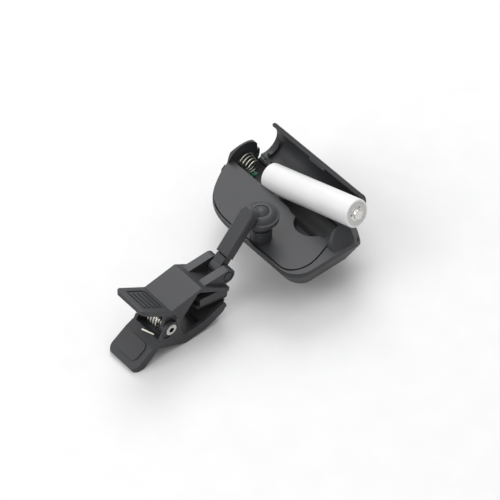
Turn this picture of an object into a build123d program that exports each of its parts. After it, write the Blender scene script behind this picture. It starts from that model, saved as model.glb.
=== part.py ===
"""Clip-on tuner with a ball-jointed head and an open battery bay, in millimetres, +Z up.

The head frame has its origin on the back plate at the middle of the bay's edge: X runs along
the head, Y points to the battery side and Z out of the plate. The clip frame has its origin
at the rivet. Both have the row frame's axes, and the row origin is the middle of the upper
pad's gripping face.
"""
import os
from math import atan2, cos, degrees, radians, sin

from build123d import *

# driving dimensions
CELL_R = 5.25
CELL_LEN = 44.5
CLIP_HALF = 7.3
PAD_HALF = 6.0
ARM_RISE = 48.9
ARM_LEN = 21.4
ARM_DROP = 7.35
BALL_R = 4.2
DOOR_OPEN = 97.0
HEAD_DEPTH = 12.0
WALL = 1.2
RUN = 0.05

# positions
HEAD_AT = Location((-5.7, 42.1, 10.3))
CLIP_AT = Location((0, -18.8, 0.8))
PIN_YZ = (26.1, 7.4)
BALL_AT = (5.7, -15.2, 9.2)
BAY_Y = 6.1
BAY_Z = -2.7
BAY_LEFT = -29.0
BAY_RIGHT = 20.2
HINGE_Y = 12.5
HINGE_Z = -4.7
CELL_END = (-14.5, 6.54, -0.38)
CELL_DIR = (0.9593, 0.0742, 0.2726)

# head
BAY_R = CELL_R + 0.35
TROUGH_R = BAY_R + 0.65
DOOR_IN_R = BAY_R + 0.45
DOOR_R = 7.5
PLATE_T = 1.6
SPLIT_Z = -9.0
BOARD_T = 0.7
GUIDE_T = 0.5
PANEL_T = 0.7
WINDOW_T = 0.9
POST_R = 3.9
POST_TOP = 5.4
BUTTON_XS = {"power_button": -8.0, "mode_button": 2.0, "calibration_button": 12.0}
BUTTON_Y = -10.6
BOARD_SCREW_XS = (-20.2, 19.4)
BOARD_SCREW_Y = -0.9
HINGE_XS = (-24.0, 13.0)
HINGE_PIN_R = 0.5
KNUCKLE_R = 1.1

# ball joint
BOWL_R = BALL_R + 1.0
STUD_R = 1.4
STEM_R = 1.6

# clip
RIVET_R = 1.7
PIN_R = 1.2
EAR_R = 2.9
TONGUE_HALF = 2.1
SHANK_R = 1.25
ARM_HALF = 3.0
ARM_T = 3.7
ARM_FACE = 1.6
SPRING_R = 2.75
WIRE_R = 0.42


def side_plate(points, x0, x1, radius=0.0, picked=None):
    """A plate with its outline in the YZ plane, from x0 to x1."""
    face = make_face(Polyline(*points, close=True))
    if radius:
        corners = face.vertices() if picked is None else [
            v for v in face.vertices() if any(abs(v.X - p[0]) + abs(v.Y - p[1]) < 0.05 for p in picked)
        ]
        face = fillet(corners, radius)
    return Pos(x0, 0, 0) * extrude(Plane.YZ * face, x1 - x0)


def rod_x(y, z, radius, x0, x1):
    """A cylinder along X."""
    return Pos((x0 + x1) / 2, y, z) * Rot(0, 90, 0) * Cylinder(radius, x1 - x0)


def block(x0, x1, y0, y1, z0, z1):
    """A box given by its limits."""
    return Pos((x0 + x1) / 2, (y0 + y1) / 2, (z0 + z1) / 2) * Box(x1 - x0, y1 - y0, z1 - z0)


def both_sides(part):
    """The part with its mirror image across the clip's middle plane."""
    return part + mirror(part, Plane.YZ)


# ---------------------------------------------------------------- head shell

def head_outline(z, fx=1.0, fy=1.0, inset=0.0):
    """The rim's outline at height z, shrunk about a point near its middle."""
    cx, cy = 0.0, 0.0
    kx = fx - inset / 31.0
    ky = fy - inset / 17.0

    def at(x, y):
        return (cx + (x - cx) * kx, cy + (y - cy) * ky)

    right = Line(at(28.8, 10.4), at(28.8, -11.8))
    corner = Spline(at(28.8, -11.8), at(26.6, -17.6), at(20.8, -20.0), tangents=[(0, -1), (-1, 0)])
    bottom = Line(at(20.8, -20.0), at(-4.0, -20.0))
    sweep = Spline(
        at(-4.0, -20.0), at(-12.4, -19.2), at(-18.0, -17.0), at(-21.6, -14.3),
        at(-24.7, -10.8), at(-27.8, -6.0), at(-30.9, 0.8),
        tangents=[(-1, 0), (-0.4, 0.92)],
    )
    left = Spline(at(-30.9, 0.8), at(-32.2, 5.0), at(-32.2, 9.6), tangents=[(-0.4, 0.92), (0.1, 1)])
    upper = Spline(at(-32.2, 9.6), at(-31.6, 12.2), at(-29.0, 13.3), tangents=[(0.1, 1), (1, 0)])
    top = Line(at(-29.0, 13.3), at(25.4, 13.3))
    shoulder = Spline(at(25.4, 13.3), at(28.0, 12.4), at(28.8, 10.4), tangents=[(1, 0), (0, -1)])
    edges = [right, corner, bottom, sweep, left, upper, top, shoulder]
    return Pos(0, 0, z) * make_face(edges)


def hull(inset=0.0, top=-0.3, bottom=-HEAD_DEPTH):
    """The head's solid: a straight rim, then walls that lean in towards the front."""
    rim = extrude(head_outline(-2.4, inset=inset), top + 2.4)
    lean = loft([head_outline(bottom, 0.84, 0.71, inset), head_outline(-2.4, inset=inset)])
    return rim + lean


def barrel(radius, x0, x1):
    return rod_x(BAY_Y, BAY_Z, radius, x0, x1)


def plate_outline(grow=0.0):
    """The back plate's outline, from the bay's right end round the bottom to the left end cap."""
    g = grow
    edges = [
        Line((20.2, 6.8 + g), (20.5 + g, 6.8 + g)),
        Spline(
            (20.5 + g, 6.8 + g), (22.7 + g, 1.5), (24.6 + g, -3.8), (25.9 + g, -8.4), (26.2 + g, -11.9),
            (25.3 + g, -15.6), (23.6 + g, -17.9 - g), (20.4, -19.1 - g),
            tangents=[(0.4, -0.92), (-1, 0)],
        ),
        Line((20.4, -19.1 - g), (-5.0, -19.1 - g)),
        Spline(
            (-5.0, -19.1 - g), (-12.4, -18.5 - g), (-17.9 - g, -16.4 - g), (-21.3 - g, -13.9 - g),
            (-24.4 - g, -10.4 - g), (-27.4 - g, -5.7 - g), (-30.4 - g, 0.9),
            tangents=[(-1, 0), (-0.4, 0.92)],
        ),
        Spline((-30.4 - g, 0.9), (-31.8 - g, 5.2), (-31.8 - g, 9.0), tangents=[(-0.4, 0.92), (0.0, 1)]),
        Line((-31.8 - g, 9.0), (-31.8 - g, 12.4)),
        Line((-31.8 - g, 12.4), (BAY_LEFT, 12.4)),
        Line((BAY_LEFT, 12.4), (BAY_LEFT, 1.3 + g)),
        Line((BAY_LEFT, 1.3 + g), (1.0, 1.3 + g)),
        Line((1.0, 1.3 + g), (3.4, 0.3 + g)),
        Line((3.4, 0.3 + g), (20.2, 0.3 + g)),
        Line((20.2, 0.3 + g), (20.2, 6.8 + g)),
    ]
    return make_face(edges)


def scoop(grow=0.0, floor=-4.4):
    """The half-moon finger scoop at the bay's edge."""
    return Pos(12.2, 2.4, (floor + 6) / 2) * Cylinder(6.4 + grow, 6 - floor)


def back_cover():
    """Back plate with the left end cap of the battery barrel and the post for the socket."""
    plate = Pos(0, 0, -PLATE_T) * extrude(plate_outline(), PLATE_T)
    cap = barrel(DOOR_R + 0.1, -31.8, BAY_LEFT) & block(-40, 0, -20, 20, -PLATE_T, 10)
    cap &= Pos(0, 0, -PLATE_T) * extrude(plate_outline(), 12)
    cap -= Pos(-31.9, 0, -1.0) * Rot(0, -70, 0) * Pos(0, 0, 5) * Box(40, 60, 10)
    x, y, z = BALL_AT
    post = Pos(x, y, (POST_TOP - PLATE_T) / 2) * Cylinder(POST_R, POST_TOP + PLATE_T)
    cover = plate + cap + (post & block(-40, 40, -19.1, 20, -PLATE_T, 10))
    cover -= Pos(x, y, z) * Sphere(BOWL_R + 0.3)
    cover -= Pos(x, y, z - 8.5) * Cylinder(STEM_R + RUN, 8.0)
    cover -= barrel(BAY_R, BAY_LEFT, BAY_RIGHT)
    return cover - scoop()


def mid_housing():
    """Middle housing: leaning side walls, battery trough, right shoulder and right end cap."""
    shell = hull() + (barrel(DOOR_R, BAY_LEFT - 1.2, BAY_RIGHT + 1.2) & block(-40, 40, -20, 20, -11.4, -0.3))
    cap = barrel(DOOR_R, BAY_RIGHT, 28.4) & block(0, 40, -20, 20, -2, 10)
    cap -= Pos(25.4, 0, 2.1) * Rot(0, 47, 0) * Pos(0, 0, 5) * Box(30, 60, 10)
    cap -= block(0, 22.5, -20, 20, 0.0, 10)
    inside = hull(WALL, -PLATE_T, -HEAD_DEPTH + 0.6) - barrel(TROUGH_R, BAY_LEFT - 1, BAY_RIGHT + 1.2)
    inside -= block(-40, 40, 11.6, 20, -20, 0)
    inside -= scoop(0.8, -5.2)
    body = (shell - inside) + cap
    body -= Pos(28.6, 8.3, -1) * Rot(0, 0, 47.6) * Rot(0, -28, 0) * Pos(10, 0, 0) * Box(20, 60, 60)
    body -= Pos(0, 0, -PLATE_T) * extrude(plate_outline(0.4), 10)
    body -= block(-40, BAY_LEFT, -2, 20, -PLATE_T, 10)
    body -= Pos(0, 0, SPLIT_Z) * block(-40, 40, -40, 40, -10, 0)
    body -= barrel(BAY_R, BAY_LEFT, BAY_RIGHT)
    body -= block(BAY_LEFT, BAY_RIGHT, BAY_Y, 30, HINGE_Z + 0.4, 10)
    body -= block(BAY_LEFT, BAY_RIGHT, 0.3, BAY_Y, -2, 10)
    body -= barrel(DOOR_R + 0.3, BAY_LEFT, BAY_RIGHT) & block(-40, 40, -20, 30, -0.6, 10)
    body -= rod_x(HINGE_Y, HINGE_Z, KNUCKLE_R + 0.3, BAY_LEFT, BAY_RIGHT)
    for x in HINGE_XS:
        for x0 in (x - 3.2, x + 1.2):
            lug = rod_x(HINGE_Y, HINGE_Z, KNUCKLE_R, x0, x0 + 2)
            lug += block(x0, x0 + 2, HINGE_Y - 1.1, HINGE_Y + 0.4, HINGE_Z - 1.9, HINGE_Z)
            body += lug - barrel(BAY_R, BAY_LEFT, BAY_RIGHT)
        body -= rod_x(HINGE_Y, HINGE_Z, HINGE_PIN_R, x - 3.2, x + 3.2)
    body -= block(-28.6, -24.0, 3.4, 9.0, -12, -7.0)
    body += block(-28.6, -24.0, 2.9, 3.9, SPLIT_Z, -8.35) + block(-28.6, -24.0, 8.3, 9.0, SPLIT_Z, -8.35)
    for x in BOARD_SCREW_XS:
        boss = Pos(x, BOARD_SCREW_Y, (SPLIT_Z - 5) / 2) * Cylinder(1.8, -5 - SPLIT_Z)
        body += boss - barrel(BAY_R, BAY_LEFT, BAY_RIGHT)
        body -= Pos(x, BOARD_SCREW_Y, SPLIT_Z) * Cylinder(0.7, 4.4)
    body -= scoop() & block(-40, 40, -20, BAY_Y, -4.4, 10)
    return max(body.solids(), key=lambda solid: solid.volume)


def front_bezel():
    """Front bezel with the display opening and three button slots."""
    shell = hull() - hull(WALL, -PLATE_T, -HEAD_DEPTH + WINDOW_T)
    shell &= block(-40, 40, -40, 40, -HEAD_DEPTH, SPLIT_Z)
    shell -= barrel(BAY_R, BAY_LEFT, BAY_RIGHT)
    shell -= Pos(0, 0, -HEAD_DEPTH) * extrude(window_outline(), 4)
    for x in BUTTON_XS.values():
        shell -= Pos(x, BUTTON_Y, -HEAD_DEPTH) * extrude(SlotOverall(6.4, 3.0), 2)
    return shell


def window_outline(grow=0.0):
    face = Pos(-0.5, -0.4) * Rectangle(35 + grow, 13.4 + grow)
    return fillet(face.vertices(), 1.6)


def display_window():
    window = Pos(0, 0, -HEAD_DEPTH) * extrude(window_outline(-0.1), WINDOW_T)
    return chamfer(window.edges().group_by(Axis.Z)[0], 0.15)


def stacked(width, depth, top, thickness):
    return Pos(-0.5, -0.4, top - thickness / 2) * Box(width, depth, thickness)


def lcd_panel():
    """Display panel with its lower glass ledge."""
    top = SPLIT_Z - 0.05 - BOARD_T - 0.05 - GUIDE_T - 0.05
    panel = stacked(36, 14.6, top, PANEL_T)
    return chamfer(panel.edges().group_by(Axis.Z)[0], 0.15)


def light_guide():
    top = SPLIT_Z - 0.05 - BOARD_T - 0.05
    guide = stacked(35, 14, top, GUIDE_T)
    return guide - Pos(17, -7.4, top) * Cylinder(0.8, 2)


def main_board():
    """Main board with the processor, two passives and the pickup's solder pads."""
    outline = make_face(Polyline(
        (21.0, 8.0), (21.0, -9.5), (18.0, -12.2), (-12.0, -12.2), (-20.6, -6.0), (-25.4, 3.0),
        (-25.4, 8.0), close=True,
    ))
    outline = fillet(outline.vertices(), 1.0)
    board = Pos(0, 0, SPLIT_Z - 0.05 - BOARD_T) * extrude(outline, BOARD_T)
    for x in BOARD_SCREW_XS:
        board -= Pos(x, BOARD_SCREW_Y, SPLIT_Z) * Cylinder(0.9, 4)
    board += block(-12, -6, -9.5, -3.5, SPLIT_Z - 0.06, SPLIT_Z + 0.9)
    for x in (8.0, 11.0, 14.0):
        board += block(x, x + 1.6, -7.0, -6.2, SPLIT_Z - 0.06, SPLIT_Z + 0.5)
    return board


def contact_board():
    """Small board under the battery spring."""
    board = block(-28.4, -24.2, 3.6, 8.8, -8.3, -7.6)
    return board + block(-25.6, -24.8, 5.4, 7.4, -7.62, -7.35)


def switch_domes():
    top = SPLIT_Z - 0.05 - BOARD_T
    domes = []
    for x in BUTTON_XS.values():
        dome = Pos(x, BUTTON_Y, top - 0.15) * Cone(1.0, 1.5, 0.3)
        domes.append(dome)
    return Compound(domes)


def button(x):
    """A front button: a slot-shaped cap with a wider flange inside the bezel."""
    cap = Pos(x, BUTTON_Y, -HEAD_DEPTH - 0.6) * extrude(SlotOverall(6.2, 2.8), 1.6)
    cap = chamfer(cap.edges().group_by(Axis.Z)[0], 0.25)
    flange = Pos(x, BUTTON_Y, -HEAD_DEPTH + WINDOW_T + 0.05) * extrude(SlotOverall(7.0, 3.0), 0.3)
    stem = Pos(x, BUTTON_Y, -HEAD_DEPTH + WINDOW_T + 0.3) * Cylinder(0.8, 0.6)
    return cap + flange + stem


def piezo_disc():
    """Pickup disc: brass plate with a ceramic element."""
    top = -PLATE_T
    disc = Pos(5.7, -11.4, top - 0.1) * Cylinder(5.0, 0.2)
    return disc + Pos(5.7, -11.4, top - 0.3) * Cylinder(3.6, 0.2)


def board_screws():
    """Two pan-head screws that hold the board to the trough's bosses."""
    screws = []
    top = SPLIT_Z - 0.05 - BOARD_T
    for x in BOARD_SCREW_XS:
        screw = Pos(x, BOARD_SCREW_Y, top + 1.4) * Cylinder(0.7, 2.8)
        head = Pos(x, BOARD_SCREW_Y, top - 0.3) * Cylinder(1.3, 0.6)
        head = chamfer(head.edges().group_by(Axis.Z)[0], 0.15)
        head -= Pos(x, BOARD_SCREW_Y, top - 0.5) * Box(1.4, 0.3, 0.3)
        head -= Pos(x, BOARD_SCREW_Y, top - 0.5) * Box(0.3, 1.4, 0.3)
        screws.append(screw + head)
    return Compound(screws)


def coil(radius0, radius1, wire, turns, length, steps=14):
    """A tapering coil along Z from the origin."""
    points = []
    for i in range(int(turns * steps) + 1):
        t = i / (turns * steps)
        angle = radians(360 * turns * t)
        radius = radius0 + (radius1 - radius0) * t
        points.append((radius * cos(angle), radius * sin(angle), length * t))
    path = Spline(*points)
    return sweep(Plane(path @ 0, z_dir=path % 0) * Circle(wire), path)


def battery_spring():
    """Negative contact: a tapering coil on a small plate."""
    wire = coil(3.3, 2.4, 0.3, 3.5, 4.6)
    part = Plane((BAY_LEFT + 0.75, BAY_Y, BAY_Z), x_dir=(0, 1, 0), z_dir=(1, 0, 0)) * wire
    base = block(BAY_LEFT + 0.05, BAY_LEFT + 0.35, BAY_Y - 4.3, BAY_Y + 4.3, BAY_Z - 3.4, BAY_Z + 1.2)
    seat = rod_x(BAY_Y + 3.3, BAY_Z, 0.5, BAY_LEFT + 0.3, BAY_LEFT + 0.75)
    return part + base + seat


def positive_contact():
    """Positive contact: a bent leaf at the bay's right wall."""
    x = BAY_RIGHT
    leaf = block(x - 0.35, x - 0.05, BAY_Y - 3.2, BAY_Y + 3.2, BAY_Z - 4.4, BAY_Z + 2.4)
    leaf += rod_x(BAY_Y, BAY_Z, 1.9, x - 0.75, x - 0.35)
    return leaf


def battery_cell():
    """Round cell with a crimped shoulder and a vented positive nub."""
    profile = make_face(Polyline(
        (0, 0), (CELL_R - 0.6, 0), (CELL_R, 0.5), (CELL_R, CELL_LEN - 1.7),
        (CELL_R - 0.5, CELL_LEN - 1.1), (CELL_R - 0.9, CELL_LEN - 1.3), (2.1, CELL_LEN - 1.3),
        (1.9, CELL_LEN), (0, CELL_LEN), close=True,
    ))
    cell = revolve(Plane.XZ * profile, Axis.Z)
    place = Plane(CELL_END, x_dir=(0, 1, 0), z_dir=CELL_DIR)
    for i in range(3):
        cell -= Rot(0, 0, 120 * i + 30) * Pos(2.1, 0, CELL_LEN - 0.75) * Box(0.7, 0.8, 0.5)
    return place * cell


def battery_door():
    """Curved door with two hinge knuckles, a lip with a latch and end ribs, standing open."""
    x0, x1 = BAY_LEFT + 0.3, BAY_RIGHT - 2.6
    shell = barrel(DOOR_R, x0, x1) - barrel(DOOR_IN_R, x0, x1)
    low, high = radians(-12), radians(147)
    reach = 12.0
    wedge = make_face(Polyline(
        (0, 0), (reach * cos(low), reach * sin(low)), (reach, reach), (-reach, reach),
        (reach * cos(high), reach * sin(high)), close=True,
    ))
    shell &= Pos(x0, BAY_Y, BAY_Z) * extrude(Plane.YZ * wedge, x1 - x0)
    shell -= rod_x(HINGE_Y, HINGE_Z, KNUCKLE_R + 0.3, x0 - 1, x1 + 1)
    lip_at = Pos(0, BAY_Y, BAY_Z) * Rot(147, 0, 0)
    shell += lip_at * block(x0, x1, DOOR_R - 1.0, DOOR_R - 0.3, -0.1, 0.5)
    shell += lip_at * block(-8.6, -0.6, DOOR_IN_R - 0.9, DOOR_IN_R + 0.5, -2.4, -0.4)
    shell -= lip_at * block(-0.4, 8.6, DOOR_IN_R - 0.1, DOOR_IN_R + 0.5, -3.4, -0.8)
    rib = barrel(DOOR_IN_R + 0.3, -26.4, -25.0) - barrel(4.3, -27, -24)
    shell += rib & block(-27, -24, BAY_Y, 20, BAY_Z + 0.4, BAY_Z + 4.6)
    for x in HINGE_XS:
        knuckle = rod_x(HINGE_Y, HINGE_Z, KNUCKLE_R, x - 1, x + 1)
        knuckle += block(x - 1, x + 1, HINGE_Y - 0.7, HINGE_Y + 0.95, HINGE_Z, HINGE_Z + 2.0)
        knuckle -= rod_x(BAY_Y, BAY_Z, DOOR_IN_R - 0.2, x - 1, x + 1)
        shell += knuckle
        shell -= rod_x(HINGE_Y, HINGE_Z, HINGE_PIN_R + RUN, x - 2, x + 2)
    hinge = Axis((0, HINGE_Y, HINGE_Z), (1, 0, 0))
    return shell.rotate(hinge, -DOOR_OPEN)


def door_hinge_pins():
    return Compound([rod_x(HINGE_Y, HINGE_Z, HINGE_PIN_R, x - 3.1, x + 3.1) for x in HINGE_XS])


# ---------------------------------------------------------------- ball joint and arm

def arm_plane():
    """Origin at the clevis pin in the clip frame, Z up the arm and Y towards the ball."""
    rise = radians(ARM_RISE)
    return Plane((0, *PIN_YZ), x_dir=(1, 0, 0), z_dir=(0, cos(rise), sin(rise)))


def stud_axis():
    rise = radians(ARM_RISE)
    return (0, -sin(rise), cos(rise))


def ball_stud():
    """Ball with a waisted neck that turns in the arm's upper end."""
    x, y, z = BALL_AT
    ball = Sphere(BALL_R)
    neck = Pos(0, 0, 4.2) * Cylinder(STUD_R, 3.2)
    shaft = Pos(0, 0, 6.4) * Cylinder(STUD_R, 3.4)
    stud = ball + neck + shaft
    return Plane((x, y, z), x_dir=(1, 0, 0), z_dir=stud_axis()) * stud


def notch(width, reach=12.0):
    """The slot the neck swings through, from the socket's crown down its near side."""
    slot = Pos(0, 0, 0) * block(-width / 2, width / 2, -reach, 0, 0, reach)
    tilt = ARM_RISE + 4.0
    edge = Rot(tilt, 0, 0) * (Pos(0, 0, reach / 2) * Cylinder(width / 2, reach))
    keep = Rot(tilt, 0, 0) * block(-width, width, -2 * reach, 0, -reach, 2 * reach)
    return (slot - keep) + edge


def arm_side():
    """The room the arm's face needs beside the socket."""
    return Rot(ARM_RISE, 0, 0) * Pos(0, 0, 9.3) * Box(20, 20, 8)


def socket_bowl():
    """Lower half of the socket, with the stem that turns in the post."""
    x, y, z = BALL_AT
    rim_z = 1.0
    bowl = Sphere(BOWL_R) & block(-9, 9, -9, 9, -9, rim_z)
    bowl += Pos(0, 0, rim_z - 0.5) * Cylinder(6.3, 1.0)
    bowl += Pos(0, 0, rim_z - 1.6) * Cone(BOWL_R - 0.1, 6.3, 1.2)
    bowl += Pos(0, 0, -6.9) * Cylinder(STEM_R, 4.6)
    bowl -= Sphere(BALL_R + RUN)
    bowl -= notch(2 * STUD_R + 0.8) + arm_side()
    return Pos(x, y, z) * bowl


def socket_cap():
    """Domed ring that closes the socket over the ball."""
    x, y, z = BALL_AT
    rim_z = 1.0
    outer = make_face([
        Line((0, rim_z), (6.4, rim_z)),
        Line((6.4, rim_z), (6.4, rim_z + 0.6)),
        Line((6.4, rim_z + 0.6), (5.6, rim_z + 0.8)),
        ThreePointArc((5.6, rim_z + 0.8), (4.9, 2.75), (3.4, 3.3)),
        Line((3.4, 3.3), (0, 3.3)),
        Line((0, 3.3), (0, rim_z)),
    ])
    cap = revolve(Plane.XZ * outer, Axis.Z)
    cap -= Sphere(BALL_R + RUN)
    cap -= Pos(0, 0, 3) * Cylinder(2.9, 6)
    cap -= notch(2 * STUD_R + 0.8) + arm_side()
    return Pos(x, y, z) * cap


def arm_link():
    """Flat arm with a rounded upper end, bored for the stud above and the shank below."""
    low = 5.2
    face = make_face(Polyline((-ARM_HALF, low), (ARM_HALF, low), (ARM_HALF, ARM_LEN),
                              (-ARM_HALF, ARM_LEN), close=True))
    face += Pos(0, ARM_LEN) * Circle(ARM_HALF)
    arm = Pos(0, ARM_FACE, 0) * extrude(Plane.XZ * face, ARM_T)
    arm = chamfer(arm.edges().group_by(Axis.Y)[0], 0.45)
    arm = chamfer(arm.edges().group_by(Axis.Y)[-1], 0.3)
    arm -= Pos(0, 0, low + 3.2) * Cylinder(SHANK_R + RUN, 6.4)
    arm -= Pos(0, 1.4, low + 4.4) * Rot(90, 0, 0) * Cylinder(0.8, 1.6)
    arm -= Pos(0, 1.0, ARM_LEN) * Rot(90, 0, 0) * Cylinder(STUD_R + RUN, 4.2)
    return arm_plane() * arm


def swivel_screw():
    """Grub screw that keeps the tongue's shank in the arm."""
    z = 5.2 + 4.4
    screw = Pos(0, 1.3, z) * Rot(90, 0, 0) * Cylinder(0.8, 1.1)
    screw -= Pos(0, 1.85, z) * Box(1.8, 0.5, 0.3)
    return arm_plane() * screw


def swivel_tongue():
    """Tongue round the clevis pin, with a round shank that turns in the arm."""
    side = Rectangle(2 * TONGUE_HALF, 4.9, align=(Align.CENTER, Align.MIN))
    body = extrude(Plane.XZ * side, 1.8, both=True)
    hub = Rot(0, 90, 0) * Cylinder(2.4, 2 * TONGUE_HALF)
    shank = Pos(0, 0, 7.6) * Cylinder(SHANK_R, 6.0)
    tongue = body + hub + shank
    groove = Pos(0, 0, 9.6) * (Cylinder(SHANK_R + 1, 1.9) - Cylinder(0.7, 1.9))
    tongue -= groove
    tongue -= Rot(0, 90, 0) * Cylinder(PIN_R + RUN, 9)
    return arm_plane() * tongue


# ---------------------------------------------------------------- clip

UPPER_TOP = [(-11.9, 17.2), (0.2, 9.3), (11.6, 11.3), (13.3, 11.6), (20.0, 7.2), (26.0, 3.2)]
UPPER_BOTTOM = [(25.4, 1.7), (18.9, 6.0), (12.6, 9.9), (11.4, 9.8), (0.1, 6.9), (-12.6, 15.5)]


def pad_line(y):
    """Height of the upper pad's gripping face in the clip frame."""
    return -0.8 - (y - 18.8) * 0.2094


def upper_jaw():
    """Upper jaw: grip, bend, side gussets, rivet lugs, pad carrier and clevis ears."""
    half = CLIP_HALF
    spine = side_plate(UPPER_TOP + UPPER_BOTTOM, -half, half, 0.5)
    plan = Pos(7.2, 0) * Rectangle(39.6, 2 * half)
    plan = fillet(plan.vertices(), 2.6)
    spine &= Pos(0, 0, -5) * extrude(Plane.XY * (Rot(0, 0, 90) * plan), 30)
    jaw = spine
    gusset = [(0.9, 7.6), (11.9, 10.2), (4.0, 1.6)]
    jaw += both_sides(side_plate(gusset, half - 1.3, half))
    lug = side_plate([(-2.6, 1.2), (-0.6, 7.6), (7.0, 8.9), (2.7, -0.8)], half - 3.1, half - 1.6)
    lug += rod_x(0, 0, 2.9, half - 3.1, half - 1.6)
    jaw += both_sides(lug)
    carrier = [(25.4, 2.4), (25.2, pad_line(25.2) + 1.4), (13.2, pad_line(13.2) + 1.4),
               (13.2, 4.9), (20.0, 4.1)]
    jaw += side_plate(carrier, -half + 0.9, half - 0.9, 0.4)
    jaw += side_plate([(19.2, 6.2), (24.8, 2.2), (19.2, 3.6), (16.5, 4.2)], -2.6, 2.6)
    ear = side_plate([(15.2, 9.9), (17.0, 10.1), (26.1, 10.3), (26.1, 4.5), (23.4, 4.5), (20.5, 6.4)],
                     2.7, 5.85)
    ear += rod_x(*PIN_YZ, EAR_R, 2.7, 5.85)
    ear -= rod_x(*PIN_YZ, 2.1, 5.55, 6) - rod_x(*PIN_YZ, 1.6, 5.5, 6)
    jaw += both_sides(ear)
    grip_at = Plane((0, -5.6, 13.15), x_dir=(1, 0, 0), z_dir=(0, 0.5425, 0.84))
    panel = Rectangle(10.8, 9.6)
    panel = fillet(panel.vertices(), 1.6)
    jaw -= grip_at * (Pos(0, 0, -0.35) * extrude(panel, 2))
    for i in range(4):
        rib = Pos(0, -3.4 + 2.2 * i, -0.4) * Box(8.6, 0.8, 0.7)
        jaw += grip_at * rib
    jaw -= rod_x(0, 0, RIVET_R + RUN, -9, 9)
    jaw -= rod_x(*PIN_YZ, PIN_R, -9, 9)
    return jaw


def upper_jaw_pad():
    """Rubber pad under the upper jaw, with a ribbed gripping face and a free rear lip."""
    pad = side_plate([
        (25.4, pad_line(25.4) + 1.35), (25.4, pad_line(25.4) + 0.5), (24.7, pad_line(24.7)),
        (12.4, pad_line(12.4)), (11.9, pad_line(11.9) + 0.5), (11.7, 2.6), (12.9, 2.3),
        (13.2, pad_line(13.2) + 1.35),
    ], -PAD_HALF, PAD_HALF)
    return pad


def lower_jaw():
    """Lower jaw: lever, bend, cheeks round the rivet and a channel-shaped bar to the tip."""
    half = CLIP_HALF
    web = [(-16.9, -9.3), (-14.6, -8.0), (-8.4, -3.9), (-5.0, -2.4), (-3.2, -3.2), (6.6, -9.2), (15.0, -8.4),
           (23.0, -4.9), (24.6, -4.2), (23.9, -6.0), (15.1, -9.8), (6.5, -10.7), (5.6, -10.6), (-5.6, -5.4),
           (-12.6, -10.9), (-16.4, -10.5)]
    jaw = side_plate(web, -half, half, 0.4)
    plan = Pos(4.0, 0) * Rectangle(42.0, 2 * half)
    plan = fillet(plan.vertices(), 2.8)
    jaw &= Pos(0, 0, -15) * extrude(Plane.XY * (Rot(0, 0, 90) * plan), 30)
    cheek = side_plate([(-5.2, -2.8), (-3.1, 0.9), (3.1, 0.9), (3.5, -0.4), (6.2, -9.6)], half - 1.3, half)
    cheek += rod_x(0, 0, 3.3, half - 1.3, half)
    flange = side_plate([(4.6, -6.4), (14.3, -5.7), (22.6, -2.4), (24.0, -3.6), (24.2, -4.9), (15.0, -9.2),
                         (6.4, -9.8)], half - 1.3, half)
    cheek += flange
    cheek -= rod_x(0, 0, 2.3, half - 0.5, half + 1)
    cheek -= rod_x(-1.6, -0.5, 2.3, half - 0.5, half + 1)
    jaw += both_sides(cheek)
    jaw += side_plate([(13.8, -5.85), (23.4, -3.95), (24.2, -4.4), (15.0, -8.9), (13.8, -8.9)],
                      -half + 1.3, half - 1.3)
    face = Plane((0, -11.6, -5.95), x_dir=(1, 0, 0), z_dir=(0, -0.552, 0.834))
    panel = Rectangle(9.8, 7.4)
    panel = fillet(panel.vertices(), 2.0)
    jaw += face * (Pos(0, 0, -0.5) * extrude(panel, 0.9))
    jaw -= rod_x(0, 0, RIVET_R, -9, 9)
    return jaw


def lower_jaw_pad():
    """Rubber pad on the lower bar."""
    return side_plate([
        (13.8, -5.85), (23.4, -3.95), (24.4, -3.2), (24.4, -2.7), (23.8, -2.4), (13.4, -4.55), (13.0, -5.3),
    ], -PAD_HALF + 0.1, PAD_HALF - 0.1)


def pivot_rivet():
    """Hollow rivet through the lower jaw's cheeks and the upper jaw's lugs."""
    half = CLIP_HALF
    tube = rod_x(0, 0, RIVET_R, -half, half)
    tube += rod_x(0, 0, 2.15, half - 0.5, half - 0.1)
    tube += rod_x(0, 0, 2.15, -half + 0.1, -half + 0.5)
    return tube - rod_x(0, 0, 1.0, -9, 9)


def clip_spring():
    """Torsion spring round the rivet, one leg under the upper grip and one on the lower lever."""
    turns = 3.25
    length = 4.2
    steps = 16
    start = 120.0
    points = []
    for i in range(int(turns * steps) + 1):
        t = i / (turns * steps)
        angle = radians(start + 360 * turns * t)
        points.append((-length / 2 + length * t, SPRING_R * cos(angle), SPRING_R * sin(angle)))
    body = Spline(*points)
    wire = sweep(Plane(body @ 0, z_dir=body % 0) * Circle(WIRE_R), body)
    first = Vector(*points[0])
    last = Vector(*points[-1])
    elbow = Vector(3.6, -4.9, -1.75)
    legs = [
        (first, Vector(-2.4, -7.2, 10.8)),
        (last, elbow),
        (elbow, Vector(-1.2, -6.2, -2.35)),
    ]
    for start_at, end_at in legs:
        along = end_at - start_at
        leg = Plane(start_at, z_dir=along) * Pos(0, 0, along.length / 2) * Cylinder(WIRE_R, along.length)
        wire += leg + Pos(*start_at) * Sphere(WIRE_R)
    return wire


def clevis_pin():
    """Pin through the clevis ears and the tongue, with a shallow head on each side."""
    y, z = PIN_YZ
    return rod_x(y, z, PIN_R, -5.85, 5.85)


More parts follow.
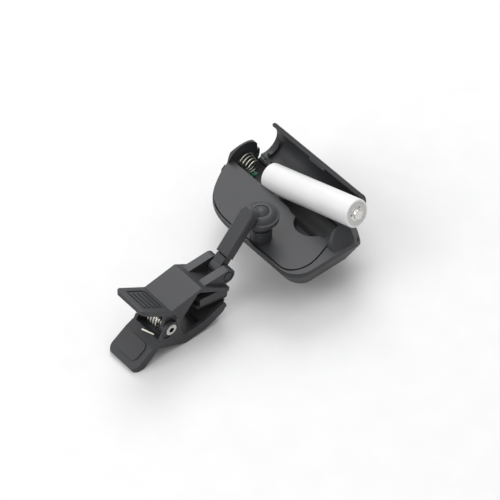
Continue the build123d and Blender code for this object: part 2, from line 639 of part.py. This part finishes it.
HEAD_PARTS = {
    "back_cover": back_cover,
    "mid_housing": mid_housing,
    "front_bezel": front_bezel,
    "display_window": display_window,
    "lcd_panel": lcd_panel,
    "light_guide": light_guide,
    "main_board": main_board,
    "contact_board": contact_board,
    "switch_domes": switch_domes,
    "piezo_disc": piezo_disc,
    "board_screws": board_screws,
    "battery_spring": battery_spring,
    "positive_contact": positive_contact,
    "battery_cell": battery_cell,
    "battery_door": battery_door,
    "door_hinge_pins": door_hinge_pins,
    "ball_stud": ball_stud,
    "socket_bowl": socket_bowl,
    "socket_cap": socket_cap,
}

CLIP_PARTS = {
    "upper_jaw": upper_jaw,
    "upper_jaw_pad": upper_jaw_pad,
    "lower_jaw": lower_jaw,
    "lower_jaw_pad": lower_jaw_pad,
    "pivot_rivet": pivot_rivet,
    "clip_spring": clip_spring,
    "clevis_pin": clevis_pin,
    "swivel_tongue": swivel_tongue,
    "swivel_screw": swivel_screw,
    "arm_link": arm_link,
}


def main():
    os.makedirs("parts", exist_ok=True)
    placed = {name: HEAD_AT * make() for name, make in HEAD_PARTS.items()}
    for name, x in BUTTON_XS.items():
        placed[name] = HEAD_AT * button(x)
    for name, make in CLIP_PARTS.items():
        placed[name] = CLIP_AT * make()
    for name, part in placed.items():
        export_step(part, f"parts/{name}.step")


main()
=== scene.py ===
from math import cos, pi, sin

import bpy
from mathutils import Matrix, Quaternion, Vector


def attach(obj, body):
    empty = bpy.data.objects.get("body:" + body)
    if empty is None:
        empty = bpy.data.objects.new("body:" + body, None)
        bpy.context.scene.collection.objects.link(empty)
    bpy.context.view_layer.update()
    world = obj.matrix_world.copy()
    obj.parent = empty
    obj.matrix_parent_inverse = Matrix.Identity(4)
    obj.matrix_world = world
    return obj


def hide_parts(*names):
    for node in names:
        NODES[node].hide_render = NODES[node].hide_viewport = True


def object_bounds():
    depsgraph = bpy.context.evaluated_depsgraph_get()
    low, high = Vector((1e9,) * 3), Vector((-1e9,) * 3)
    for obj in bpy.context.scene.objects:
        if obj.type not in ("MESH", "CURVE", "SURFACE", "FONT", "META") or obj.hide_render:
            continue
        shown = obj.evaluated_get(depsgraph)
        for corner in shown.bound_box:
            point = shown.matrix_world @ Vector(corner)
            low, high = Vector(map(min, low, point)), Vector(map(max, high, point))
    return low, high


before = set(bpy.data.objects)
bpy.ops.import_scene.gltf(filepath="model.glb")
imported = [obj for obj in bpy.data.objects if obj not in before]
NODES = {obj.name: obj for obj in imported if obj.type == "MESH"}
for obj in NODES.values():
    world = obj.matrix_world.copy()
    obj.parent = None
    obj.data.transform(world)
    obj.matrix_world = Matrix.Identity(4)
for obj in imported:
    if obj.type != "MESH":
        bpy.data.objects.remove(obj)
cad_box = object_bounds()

MM = 0.001
scene = bpy.context.scene

# ------------------------------------------------------------ camera

TO_CAMERA = Vector((0.527, -0.4425, 0.725)).normalized()
TARGET = Vector((-4.9, 26.1, 0.0)) * MM
LENS = 206.6
SENSOR = 36.0
CLIP_NEAR = 0.05
CLIP_FAR = 20.0

camera_data = bpy.data.cameras.new("camera")
camera_data.lens = LENS
camera_data.sensor_width = SENSOR
camera_data.clip_start = CLIP_NEAR
camera_data.clip_end = CLIP_FAR
camera = bpy.data.objects.new("camera", camera_data)
camera.location = TARGET + TO_CAMERA
camera.rotation_euler = TO_CAMERA.to_track_quat("Z", "Y").to_euler()
scene.collection.objects.link(camera)
scene.camera = camera


# ------------------------------------------------------------ materials

CLOUD_SCALE = 90.0
CLOUD_DETAIL = 4.0
FINE_DETAIL = 2.0
RAMP_FROM = 0.3
RAMP_TO = 0.75
GLOSS_BELOW = 0.05
GLOSS_ABOVE = 0.06
RELIEF_DEPTH = 0.00006
# near-black painted shade for the gap at the housing's parting line
SEAM_SHADE_COLOUR = (0.004, 0.004, 0.004, 1)
# the mix node's RGBA sockets
MIX_A = 6
MIX_B = 7
MIX_RESULT = 2


def new_material(name):
    """A node material, with its nodes, its links and its main shader."""
    material = bpy.data.materials.new(name)
    material.use_nodes = True
    nodes = material.node_tree.nodes
    return material, nodes, material.node_tree.links, nodes["Principled BSDF"]


def grained(name, low, high, rough, grain, bump,
            metallic=0.0, specular=0.5, coat=0.0, stretch=(1, 1, 1)):
    """A surface whose colour and gloss wander a little, with a fine moulded or brushed grain."""
    material, nodes, links, shader = new_material(name)
    place = nodes.new("ShaderNodeTexCoord")
    mapping = nodes.new("ShaderNodeMapping")
    mapping.inputs["Scale"].default_value = stretch
    links.new(place.outputs["Object"], mapping.inputs["Vector"])
    cloud = nodes.new("ShaderNodeTexNoise")
    cloud.inputs["Scale"].default_value = CLOUD_SCALE
    cloud.inputs["Detail"].default_value = CLOUD_DETAIL
    links.new(mapping.outputs["Vector"], cloud.inputs["Vector"])
    ramp = nodes.new("ShaderNodeValToRGB")
    ramp.color_ramp.elements[0].position = RAMP_FROM
    ramp.color_ramp.elements[1].position = RAMP_TO
    ramp.color_ramp.elements[0].color = (*low, 1)
    ramp.color_ramp.elements[1].color = (*high, 1)
    links.new(cloud.outputs["Fac"], ramp.inputs["Fac"])
    links.new(ramp.outputs["Color"], shader.inputs["Base Color"])
    gloss = nodes.new("ShaderNodeMapRange")
    gloss.inputs["To Min"].default_value = rough - GLOSS_BELOW
    gloss.inputs["To Max"].default_value = rough + GLOSS_ABOVE
    links.new(cloud.outputs["Fac"], gloss.inputs["Value"])
    links.new(gloss.outputs["Result"], shader.inputs["Roughness"])
    fine = nodes.new("ShaderNodeTexNoise")
    fine.inputs["Scale"].default_value = grain
    fine.inputs["Detail"].default_value = FINE_DETAIL
    links.new(mapping.outputs["Vector"], fine.inputs["Vector"])
    relief = nodes.new("ShaderNodeBump")
    relief.inputs["Strength"].default_value = bump
    relief.inputs["Distance"].default_value = RELIEF_DEPTH
    links.new(fine.outputs["Fac"], relief.inputs["Height"])
    links.new(relief.outputs["Normal"], shader.inputs["Normal"])
    shader.inputs["Metallic"].default_value = metallic
    shader.inputs["Specular IOR Level"].default_value = specular
    shader.inputs["Coat Weight"].default_value = coat
    return material


def with_painted_seam_shade(base, name, low, high):
    """The finish with a near-black band between two heights, given in metres: painted shade standing in
    for the narrow gap at the parting line.
    """
    material = base.copy()
    material.name = name
    nodes, links = material.node_tree.nodes, material.node_tree.links
    shader = nodes["Principled BSDF"]
    colour = shader.inputs["Base Color"].links[0].from_socket
    place = nodes.new("ShaderNodeTexCoord")
    split = nodes.new("ShaderNodeSeparateXYZ")
    links.new(place.outputs["Object"], split.inputs["Vector"])
    band = nodes.new("ShaderNodeMath")
    band.operation = "COMPARE"
    band.inputs[1].default_value = (low + high) / 2
    band.inputs[2].default_value = (high - low) / 2
    links.new(split.outputs["Z"], band.inputs[0])
    # mixes the painted seam shade into the colour inside the band
    mix = nodes.new("ShaderNodeMix")
    mix.data_type = "RGBA"
    mix.inputs[MIX_B].default_value = SEAM_SHADE_COLOUR
    links.new(band.outputs["Value"], mix.inputs[0])
    links.new(colour, mix.inputs[MIX_A])
    links.new(mix.outputs[MIX_RESULT], shader.inputs["Base Color"])
    return material


TRACK_SCALE = 420.0
TRACK_GAP = 0.045
MASK_DARK = (0.012, 0.12, 0.06, 1)
MASK_LIGHT = (0.016, 0.14, 0.07, 1)
TRACK_COLOUR = (0.03, 0.16, 0.08, 1)
PAD_SCALE = 380.0
PAD_RADIUS = 0.16
PAD_COLOUR = (0.55, 0.5, 0.36, 1)
MASK_ROUGH = 0.35


def board_material():
    """Green solder mask with lighter tracks and small pale pads."""
    material, nodes, links, shader = new_material("board_mask")
    place = nodes.new("ShaderNodeTexCoord")
    tracks = nodes.new("ShaderNodeTexBrick")
    tracks.inputs["Scale"].default_value = TRACK_SCALE
    tracks.inputs["Mortar Size"].default_value = TRACK_GAP
    tracks.inputs["Color1"].default_value = MASK_DARK
    tracks.inputs["Color2"].default_value = MASK_LIGHT
    tracks.inputs["Mortar"].default_value = TRACK_COLOUR
    links.new(place.outputs["Object"], tracks.inputs["Vector"])
    dots = nodes.new("ShaderNodeTexVoronoi")
    dots.inputs["Scale"].default_value = PAD_SCALE
    links.new(place.outputs["Object"], dots.inputs["Vector"])
    near = nodes.new("ShaderNodeMath")
    near.operation = "LESS_THAN"
    near.inputs[1].default_value = PAD_RADIUS
    links.new(dots.outputs["Distance"], near.inputs[0])
    mix = nodes.new("ShaderNodeMix")
    mix.data_type = "RGBA"
    mix.inputs[MIX_B].default_value = PAD_COLOUR
    links.new(near.outputs["Value"], mix.inputs[0])
    links.new(tracks.outputs["Color"], mix.inputs[MIX_A])
    links.new(mix.outputs[MIX_RESULT], shader.inputs["Base Color"])
    shader.inputs["Roughness"].default_value = MASK_ROUGH
    return material


WINDOW_CLEAR = 0.35


def window_material():
    """Tinted clear plastic with a slightly smoky tone."""
    material = grained("window_smoke", (0.012, 0.013, 0.016), (0.02, 0.022, 0.026),
                       0.1, 900, 0.03, coat=0.6)
    shader = material.node_tree.nodes["Principled BSDF"]
    shader.inputs["Transmission Weight"].default_value = WINDOW_CLEAR
    return material


DARK_LOW = (0.026, 0.0265, 0.0285)
DARK_HIGH = (0.033, 0.034, 0.037)
SHELL = grained("shell_plastic", DARK_LOW, DARK_HIGH, 0.50, 2600, 0.35, specular=0.36)
CLIP = grained("clip_plastic", DARK_LOW, DARK_HIGH, 0.48, 2200, 0.45, specular=0.38)
RUBBER = grained("pad_rubber", (0.012, 0.012, 0.012), (0.018, 0.018, 0.018),
                 0.72, 3000, 0.8, specular=0.25)
STEEL = grained("spring_steel", (0.40, 0.39, 0.35), (0.52, 0.51, 0.46),
                0.3, 1800, 0.2, metallic=1.0, stretch=(1, 1, 6))
NICKEL = grained("nickel_plate", (0.60, 0.59, 0.56), (0.74, 0.73, 0.70), 0.20, 1200, 0.1, metallic=1.0)
BRASS = grained("piezo_brass", (0.55, 0.40, 0.16), (0.66, 0.50, 0.22), 0.3, 1500, 0.2, metallic=1.0)
SLEEVE = grained("cell_sleeve", (0.60, 0.60, 0.60), (0.64, 0.64, 0.64), 0.34, 500, 0.04, coat=0.25)
WASHER = grained("cell_washer", (0.50, 0.50, 0.48), (0.58, 0.58, 0.56), 0.5, 1500, 0.2)
PANEL = grained("display_glass", (0.16, 0.19, 0.17), (0.2, 0.23, 0.2), 0.15, 700, 0.05, coat=0.4)
GUIDE = grained("guide_diffuser", (0.72, 0.75, 0.78), (0.8, 0.83, 0.85), 0.4, 900, 0.1)
BUTTON = grained("button_plastic", (0.05, 0.05, 0.055), (0.065, 0.065, 0.07), 0.38, 2400, 0.3)
BOARD = board_material()
WINDOW = window_material()

# the parting line between housing and bezel, whose gap is drawn as a band of painted shade
SEAM_LOW = 9.12
SEAM_HIGH = 9.34
SEAM_SHADED = with_painted_seam_shade(SHELL, "housing_seam_shade", SEAM_LOW * MM, SEAM_HIGH * MM)

FINISH = {
    "back_cover": SHELL, "mid_housing": SEAM_SHADED, "front_bezel": SHELL, "battery_door": SHELL,
    "display_window": WINDOW, "lcd_panel": PANEL, "light_guide": GUIDE, "main_board": BOARD,
    "switch_domes": NICKEL, "piezo_disc": BRASS, "board_screws": STEEL, "battery_spring": STEEL,
    "positive_contact": NICKEL, "battery_cell": SLEEVE, "door_hinge_pins": STEEL, "contact_board": BOARD,
    "ball_stud": CLIP, "socket_bowl": SHELL, "socket_cap": SHELL,
    "upper_jaw": CLIP, "upper_jaw_pad": RUBBER, "lower_jaw": CLIP, "lower_jaw_pad": RUBBER,
    "pivot_rivet": NICKEL, "clip_spring": STEEL, "clevis_pin": CLIP, "swivel_tongue": CLIP,
    "swivel_screw": STEEL, "arm_link": CLIP,
    "power_button": BUTTON, "mode_button": BUTTON, "calibration_button": BUTTON,
}
# radius of the softened edges, in mm
ROUNDED = {
    "upper_jaw": 0.35, "lower_jaw": 0.35, "arm_link": 0.3, "swivel_tongue": 0.3, "upper_jaw_pad": 0.25,
    "lower_jaw_pad": 0.2, "socket_cap": 0.35, "socket_bowl": 0.2, "back_cover": 0.18, "mid_housing": 0.2,
    "front_bezel": 0.3, "battery_door": 0.2, "power_button": 0.15, "mode_button": 0.15,
    "calibration_button": 0.15, "pivot_rivet": 0.1, "clevis_pin": 0.15,
}
EDGE_SEGMENTS = 3
EDGE_ANGLE = 0.6

for name, node in NODES.items():
    node.data.materials.clear()
    node.data.materials.append(FINISH[name])
    for face in node.data.polygons:
        face.use_smooth = True
    if name in ROUNDED:
        bevel = node.modifiers.new("edge", "BEVEL")
        bevel.width = ROUNDED[name] * MM
        bevel.segments = EDGE_SEGMENTS
        bevel.limit_method = "ANGLE"
        bevel.angle_limit = EDGE_ANGLE
        bevel.harden_normals = True
        bevel.use_clamp_overlap = True


# ------------------------------------------------------------ pieces

def lathe(name, profile, origin, along, material, body, turns=96):
    """A turned piece: profile gives (radius, height) in mm from the origin along the axis."""
    vertices = []
    faces = []
    for radius, height in profile:
        for i in range(turns):
            angle = 2 * pi * i / turns
            vertices.append((radius * cos(angle) * MM, radius * sin(angle) * MM, height * MM))
    for ring in range(len(profile) - 1):
        for i in range(turns):
            j = (i + 1) % turns
            lower = ring * turns
            upper = lower + turns
            faces.append((lower + i, lower + j, upper + j, upper + i))
    mesh = bpy.data.meshes.new(name)
    mesh.from_pydata(vertices, [], faces)
    mesh.update()
    for face in mesh.polygons:
        face.use_smooth = True
    mesh.materials.append(material)
    piece = bpy.data.objects.new(name, mesh)
    scene.collection.objects.link(piece)
    piece.rotation_mode = "QUATERNION"
    piece.rotation_quaternion = Vector(along).to_track_quat("Z", "Y")
    piece.location = Vector(origin) * MM
    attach(piece, body)
    return piece


# the cell's flat end and the way its nub points, in mm
CELL_END = (-20.2, 48.64, 9.92)
CELL_DIR = (0.9593, 0.0742, 0.2726)
VENTS = 3
VENT_HEIGHT = 43.25
VENT_RADIUS = 2.25
VENT_TURNS = 24

sleeve = lathe("cell_sleeve", [
    (0.02, 0.02), (4.0, 0.02), (4.1, 0.1), (4.5, 0.1), (4.75, 0.12),
    (5.05, 0.3), (5.2, 0.55), (5.22, 0.9),
    (5.22, 42.6), (5.2, 42.9), (5.05, 43.2), (4.8, 43.38),
    (4.45, 43.42), (4.3, 43.35), (4.25, 43.2),
], CELL_END, CELL_DIR, SLEEVE, "cell")
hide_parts("battery_cell")
lathe("cell_washer", [
    (4.27, 43.18), (3.9, 43.16), (3.0, 43.16), (2.2, 43.18), (2.1, 43.2),
], CELL_END, CELL_DIR, WASHER, "cell")
lathe("cell_nub", [
    (2.6, 43.17), (2.55, 43.26), (2.3, 43.32), (2.0, 43.4), (1.88, 43.6), (1.85, 44.2), (1.75, 44.4),
    (1.5, 44.47), (0.9, 44.48), (0.8, 44.44), (0.02, 44.42),
], CELL_END, CELL_DIR, NICKEL, "cell")
lathe("cell_crimp", [
    (4.3, 43.2), (4.42, 43.3), (4.5, 43.42), (4.62, 43.44), (4.72, 43.4), (4.8, 43.36),
], CELL_END, CELL_DIR, NICKEL, "cell")
along = Vector(CELL_DIR).normalized()
side = along.orthogonal().normalized()
for index in range(VENTS):
    turned = side.copy()
    turned.rotate(Quaternion(along, 2 * pi * index / VENTS))
    spot = Vector(CELL_END) + along * VENT_HEIGHT + turned * VENT_RADIUS
    lathe("cell_vent_%d" % index, [
        (0.42, 0.0), (0.36, 0.06), (0.2, 0.09), (0.01, 0.09),
    ], spot, CELL_DIR, RUBBER, "cell", turns=VENT_TURNS)


# ------------------------------------------------------------ floor and light

FLOOR_HALF = 3.0
FLOOR_GAP = 0.00005
PAPER_LOW = (0.66, 0.66, 0.665)
PAPER_HIGH = (0.68, 0.68, 0.685)
WORLD_STRENGTH = 0.62

floor_mesh = bpy.data.meshes.new("floor")
half = FLOOR_HALF
floor_z = cad_box[0][2] - FLOOR_GAP
floor_mesh.from_pydata(
    [(-half, -half, floor_z), (half, -half, floor_z), (half, half, floor_z), (-half, half, floor_z)],
    [], [(0, 1, 2, 3)],
)
floor = bpy.data.objects.new("floor", floor_mesh)
floor_mesh.materials.append(
    grained("pale_paper", PAPER_LOW, PAPER_HIGH, 0.8, 60, 0.02, specular=0.1)
)
scene.collection.objects.link(floor)


def area_light(name, place, size, power):
    """A square lamp at a place in metres, turned towards the middle of the picture."""
    data = bpy.data.lights.new(name, "AREA")
    data.shape = "SQUARE"
    data.size = size
    data.energy = power
    lamp = bpy.data.objects.new(name, data)
    lamp.location = Vector(place)
    lamp.rotation_euler = (Vector(place) - TARGET).to_track_quat("Z", "Y").to_euler()
    scene.collection.objects.link(lamp)


area_light("key_back", (-0.75, 0.55, 1.1), 0.8, 11.0)
area_light("overhead", (0.1, -0.1, 1.4), 1.0, 6.0)
area_light("front_soft", (-0.3, -1.1, 0.9), 1.0, 10.0)
world = bpy.data.worlds.new("studio")
world.use_nodes = True
world.node_tree.nodes["Background"].inputs["Color"].default_value = (1, 1, 1, 1)
world.node_tree.nodes["Background"].inputs["Strength"].default_value = WORLD_STRENGTH
scene.world = world
scene.view_settings.view_transform = "Standard"
